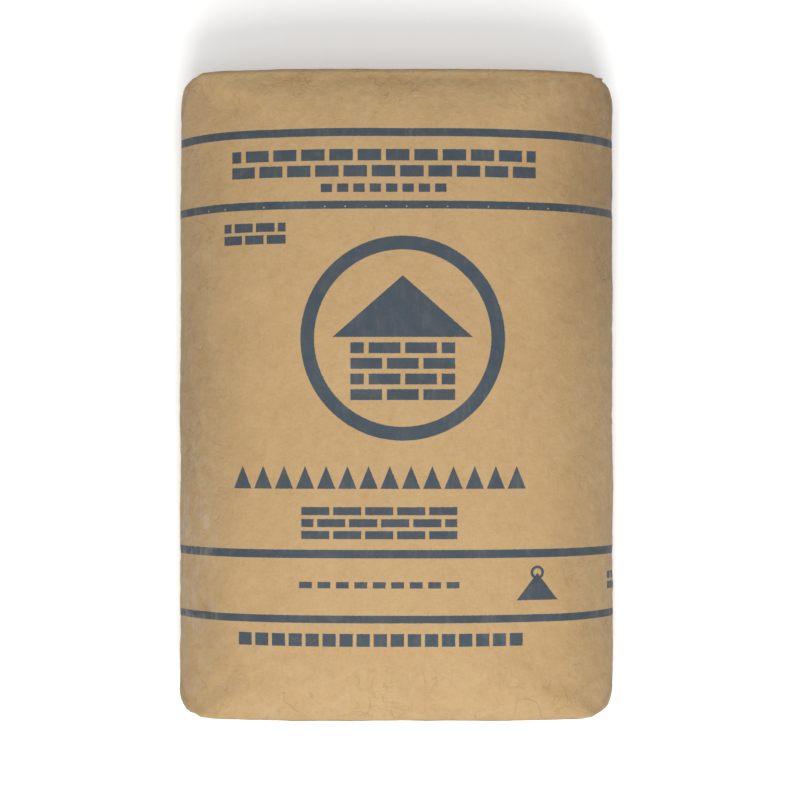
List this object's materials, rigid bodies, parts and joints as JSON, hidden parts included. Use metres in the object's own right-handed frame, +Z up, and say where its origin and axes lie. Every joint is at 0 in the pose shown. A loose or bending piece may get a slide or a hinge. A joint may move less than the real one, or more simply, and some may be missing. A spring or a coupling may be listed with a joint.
{
  "type": "cement bag",
  "caption": "Filled kraft paper valve sack of cement lying flat on its back, with folded and pasted block ends and a flat filling valve in a corner.",
  "frame": {"origin": "on the floor, under the middle of the sack's box", "axes": "+Z up out of the printed face, +Y along the length to the head end with the valve, +X across the width to the valve's side"},
  "size_m": [0.42, 0.6312, 0.148],
  "materials": {
    "sack_kraft": "dull brown kraft paper, printed with slate blue bands",
    "cement_powder": "packed grey cement powder",
    "patch_kraft": "dull brown kraft paper, pasted",
    "sleeve_kraft": "paler unprinted kraft paper"
  },
  "bodies": {
    "root": {"paper_sack": "sack_kraft", "cement": "cement_powder", "head_cover_patch": "patch_kraft", "foot_cover_patch": "patch_kraft", "valve_sleeve": "sleeve_kraft"}
  },
  "joints": []
}
